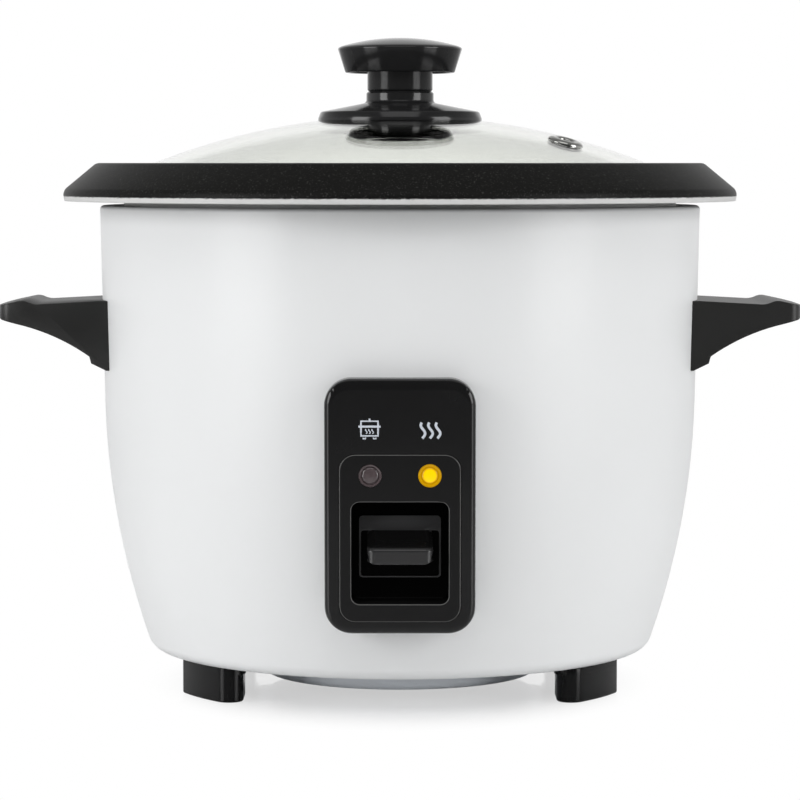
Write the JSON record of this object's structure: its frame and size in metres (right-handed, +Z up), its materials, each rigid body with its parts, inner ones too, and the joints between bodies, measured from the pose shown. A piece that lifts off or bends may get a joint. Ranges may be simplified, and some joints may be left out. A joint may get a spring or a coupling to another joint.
{
  "type": "rice cooker",
  "caption": "Drum rice cooker with a lift-out non-stick pot, domed glass lid, side handles, two indicator lamps and a rocker switch lever.",
  "frame": {"origin": "on the floor under the axis of the drum", "axes": "+Z up, -Y towards the control panel, +X to the right handle"},
  "size_m": [0.32, 0.2676, 0.2568],
  "materials": {
    "white_enamel": "glossy white stove enamel",
    "white_paint": "satin white paint",
    "liner_steel": "satin aluminised steel",
    "nonstick_coating": "spun aluminium under a dark non-stick coating with fine flecks, bare at the lip edge",
    "cast_aluminium": "turned casting",
    "element_steel": "oxidised tube",
    "zinc_screws": "zinc plate",
    "mica_band": "mica sheet",
    "spring_steel": "bright wire and strip",
    "plated_steel": "zinc plated sheet",
    "sensor_aluminium": "satin cap",
    "ferrite": "sintered dark grey",
    "switch_resin": "brown phenolic resin",
    "button_white": "white resin",
    "paddle_black": "gloss black",
    "panel_black": "satin gloss black",
    "surround_black": "gloss black",
    "lens_clear": "clear lens, unlit",
    "lens_amber": "amber lens, lit",
    "neon_glass": "small glass lamp",
    "handle_black": "fine matte black",
    "foot_black": "gloss black",
    "inlet_black": "satin black",
    "pin_brass": "nickel-tinted brass",
    "porcelain": "unglazed porcelain",
    "fuse_sleeve": "woven glass sleeve",
    "lid_glass": "clear tempered glass",
    "stainless": "polished stainless steel",
    "knob_black": "gloss black phenolic",
    "gasket_rubber": "black silicone",
    "cap_black": "black cap",
    "lead_sleeve": "heat-proof woven sleeve"
  },
  "bodies": {
    "base": {"block_rivets": "zinc_screws", "bottom_plate": "white_paint", "bottom_posts": "plated_steel", "bottom_screws": "zinc_screws", "cook_lamp": "neon_glass", "cook_lens": "lens_clear", "foot_front_left": "foot_black", "foot_front_right": "foot_black", "foot_rear_left": "foot_black", "foot_rear_right": "foot_black", "foot_screws": "zinc_screws", "fuse_clip": "plated_steel", "handle_left": "handle_black", "handle_plates": "plated_steel", "handle_right": "handle_black", "handle_screws": "zinc_screws", "heater_strap": "spring_steel", "heating_element": "element_steel", "heating_plate": "cast_aluminium", "inlet_housing": "inlet_black", "inlet_pins": "pin_brass", "inlet_screws": "zinc_screws", "inner_liner": "liner_steel", "internal_leads": "lead_sleeve", "keep_warm_heater": "mica_band", "lead_lugs": "pin_brass", "lever_pin": "zinc_screws", "liner_screws": "zinc_screws", "magnet_spring": "spring_steel", "outer_body": "white_enamel", "panel_bezel": "panel_black", "panel_screws": "zinc_screws", "plate_screws": "zinc_screws", "sensor_spring": "spring_steel", "switch_block": "switch_resin", "switch_bracket": "plated_steel", "switch_surround": "surround_black", "terminal_block": "porcelain", "thermal_fuse": "fuse_sleeve", "thermostat_housing": "plated_steel", "warm_lamp": "neon_glass", "warm_lens": "lens_amber"},
    "pot": {"inner_pot": "nonstick_coating"},
    "lid": {"lid_glass": "lid_glass", "vent_eyelet": "stainless", "knob": "knob_black", "knob_base": "knob_black", "knob_gasket": "gasket_rubber", "knob_washer": "stainless", "knob_screw": "cap_black"},
    "lever": {"switch_lever": "plated_steel", "switch_paddle": "paddle_black"},
    "magnet_carrier": {"magnet": "ferrite", "magnet_rod": "plated_steel"},
    "sensor": {"sensor_cup": "sensor_aluminium", "ferrite_disc": "ferrite"},
    "button": {"switch_button": "button_white"}
  },
  "joints": [
    {"name": "pot_lift", "type": "slide", "parent": "base", "child": "pot", "axis": [0, 0, 1], "range_m": [0, 0.15]},
    {"name": "lid_lift", "type": "slide", "parent": "pot", "child": "lid", "axis": [0, 0, 1], "range_m": [0, 0.08]},
    {"name": "switch_rock", "type": "hinge", "parent": "base", "child": "lever", "pos_m": [0, -0.045, 0.058], "axis": [1, 0, 0], "range_deg": [0, 6.5], "stiffness_Nm_per_rad": 0.3, "springref_deg": -11.46},
    {"name": "magnet_rise", "type": "slide", "parent": "base", "child": "magnet_carrier", "axis": [0, 0, 1], "range_m": [0, 0.0052], "deforming": ["magnet_spring"]},
    {"name": "button_press", "type": "slide", "parent": "base", "child": "button", "axis": [0, 0, 1], "range_m": [-0.0035, 0]},
    {"name": "sensor_press", "type": "slide", "parent": "base", "child": "sensor", "axis": [0, 0, 1], "range_m": [-0.002, 0], "stiffness_N_per_m": 400, "springref_m": 0.003, "deforming": ["sensor_spring"]}
  ],
  "couplings": [
    {"joint": "magnet_rise", "follows": "switch_rock", "m_per_rad": 0.045},
    {"joint": "button_press", "follows": "switch_rock", "m_per_rad": -0.03}
  ]
}
